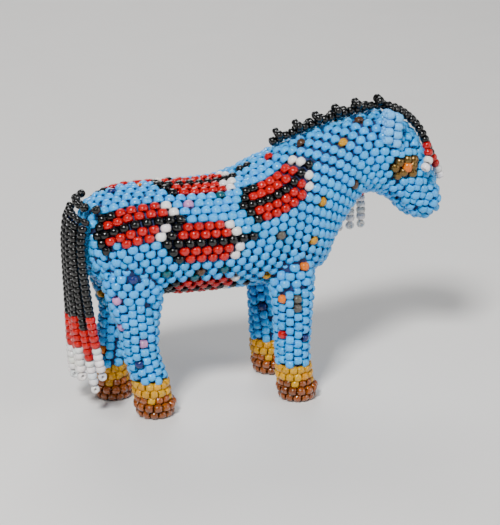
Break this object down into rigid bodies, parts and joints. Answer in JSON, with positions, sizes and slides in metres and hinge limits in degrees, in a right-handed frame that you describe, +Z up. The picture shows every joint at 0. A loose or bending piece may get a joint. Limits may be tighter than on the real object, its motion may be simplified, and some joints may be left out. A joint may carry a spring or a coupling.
{
  "type": "beaded horse figure",
  "caption": "Small standing horse in stitched seed beads over a padded, wired form, with swinging bead strings as mane, forelock and tail.",
  "frame": {"origin": "on the ground, under the middle of the horse's box", "axes": "+X to the head, +Y to the horse's left, +Z up"},
  "size_m": [0.0863, 0.0252, 0.0641],
  "materials": {
    "blue_beads": "opaque light blue seed beads, polished",
    "yellow_beads": "opaque warm yellow seed beads",
    "brown_beads": "amber brown seed beads, glossy",
    "black_beads": "opaque black seed beads, very glossy",
    "string_beads": "black seed beads with red and white ones at the tip",
    "orange_beads": "opaque orange seed bead",
    "bronze_beads": "dark bronze metallic seed beads",
    "cotton_padding": "firm cotton wadding",
    "steel_wire": "plain drawn wire"
  },
  "bodies": {
    "horse": {"trunk_padding": "cotton_padding", "neck_padding": "cotton_padding", "head_padding": "cotton_padding", "front_right_leg_padding": "cotton_padding", "front_left_leg_padding": "cotton_padding", "hind_right_leg_padding": "cotton_padding", "hind_left_leg_padding": "cotton_padding", "neck_wire": "steel_wire", "front_right_leg_wire": "steel_wire", "front_left_leg_wire": "steel_wire", "hind_right_leg_wire": "steel_wire", "hind_left_leg_wire": "steel_wire", "trunk_beadwork": "blue_beads", "neck_beadwork": "blue_beads", "head_beadwork": "blue_beads", "front_right_leg_beadwork": "blue_beads", "front_left_leg_beadwork": "blue_beads", "hind_right_leg_beadwork": "blue_beads", "hind_left_leg_beadwork": "blue_beads", "front_right_band": "yellow_beads", "front_left_band": "yellow_beads", "hind_right_band": "yellow_beads", "hind_left_band": "yellow_beads", "front_right_hoof": "brown_beads", "front_left_hoof": "brown_beads", "hind_right_hoof": "brown_beads", "hind_left_hoof": "brown_beads", "ear_right": "blue_beads", "ear_left": "blue_beads", "eye_right": "orange_beads", "eye_left": "orange_beads", "eye_ring_right": "bronze_beads", "eye_ring_left": "bronze_beads", "mane_crest": "black_beads", "tail_dock": "black_beads"},
    "mane_string_1": {"mane_string_1": "string_beads"},
    "mane_string_2": {"mane_string_2": "string_beads"},
    "mane_string_3": {"mane_string_3": "string_beads"},
    "mane_string_4": {"mane_string_4": "string_beads"},
    "mane_string_5": {"mane_string_5": "string_beads"},
    "mane_string_6": {"mane_string_6": "string_beads"},
    "mane_string_7": {"mane_string_7": "string_beads"},
    "forelock_string_1": {"forelock_string_1": "string_beads"},
    "forelock_string_2": {"forelock_string_2": "string_beads"},
    "tail_string_1": {"tail_string_1": "string_beads"},
    "tail_string_2": {"tail_string_2": "string_beads"},
    "tail_string_3": {"tail_string_3": "string_beads"},
    "tail_string_4": {"tail_string_4": "string_beads"},
    "tail_string_5": {"tail_string_5": "string_beads"},
    "tail_string_6": {"tail_string_6": "string_beads"}
  },
  "joints": [
    {"name": "mane_1_swing", "type": "hinge", "parent": "horse", "child": "mane_string_1", "pos_m": [0.0097, 0.00368, 0.05699], "axis": [1, 0, 0], "range_deg": [0, 70]},
    {"name": "mane_2_swing", "type": "hinge", "parent": "horse", "child": "mane_string_2", "pos_m": [0.01225, 0.0035, 0.05779], "axis": [1, 0, 0], "range_deg": [0, 70]},
    {"name": "mane_3_swing", "type": "hinge", "parent": "horse", "child": "mane_string_3", "pos_m": [0.0148, 0.00334, 0.05855], "axis": [1, 0, 0], "range_deg": [0, 70]},
    {"name": "mane_4_swing", "type": "hinge", "parent": "horse", "child": "mane_string_4", "pos_m": [0.01735, 0.0032, 0.05924], "axis": [1, 0, 0], "range_deg": [0, 70]},
    {"name": "mane_5_swing", "type": "hinge", "parent": "horse", "child": "mane_string_5", "pos_m": [0.0199, 0.00311, 0.0598], "axis": [1, 0, 0], "range_deg": [0, 70]},
    {"name": "mane_6_swing", "type": "hinge", "parent": "horse", "child": "mane_string_6", "pos_m": [0.02245, 0.00308, 0.06028], "axis": [1, 0, 0], "range_deg": [0, 70]},
    {"name": "mane_7_swing", "type": "hinge", "parent": "horse", "child": "mane_string_7", "pos_m": [0.025, 0.00307, 0.06053], "axis": [1, 0, 0], "range_deg": [0, 70]},
    {"name": "forelock_1_swing", "type": "hinge", "parent": "horse", "child": "forelock_string_1", "pos_m": [0.02793, -0.00208, 0.06078], "axis": [0, -1, 0], "range_deg": [0, 55]},
    {"name": "forelock_2_swing", "type": "hinge", "parent": "horse", "child": "forelock_string_2", "pos_m": [0.02793, 0.00212, 0.06077], "axis": [0, -1, 0], "range_deg": [0, 55]},
    {"name": "tail_1_swing", "type": "hinge", "parent": "horse", "child": "tail_string_1", "pos_m": [-0.03945, -0.00605, 0.0443], "axis": [0, 1, 0], "range_deg": [0, 70]},
    {"name": "tail_2_swing", "type": "hinge", "parent": "horse", "child": "tail_string_2", "pos_m": [-0.04029, -0.00363, 0.0443], "axis": [0, 1, 0], "range_deg": [0, 70]},
    {"name": "tail_3_swing", "type": "hinge", "parent": "horse", "child": "tail_string_3", "pos_m": [-0.04056, -0.00121, 0.0443], "axis": [0, 1, 0], "range_deg": [0, 70]},
    {"name": "tail_4_swing", "type": "hinge", "parent": "horse", "child": "tail_string_4", "pos_m": [-0.04056, 0.00121, 0.0443], "axis": [0, 1, 0], "range_deg": [0, 70]},
    {"name": "tail_5_swing", "type": "hinge", "parent": "horse", "child": "tail_string_5", "pos_m": [-0.04029, 0.00363, 0.0443], "axis": [0, 1, 0], "range_deg": [0, 70]},
    {"name": "tail_6_swing", "type": "hinge", "parent": "horse", "child": "tail_string_6", "pos_m": [-0.03945, 0.00605, 0.0443], "axis": [0, 1, 0], "range_deg": [0, 70]}
  ]
}
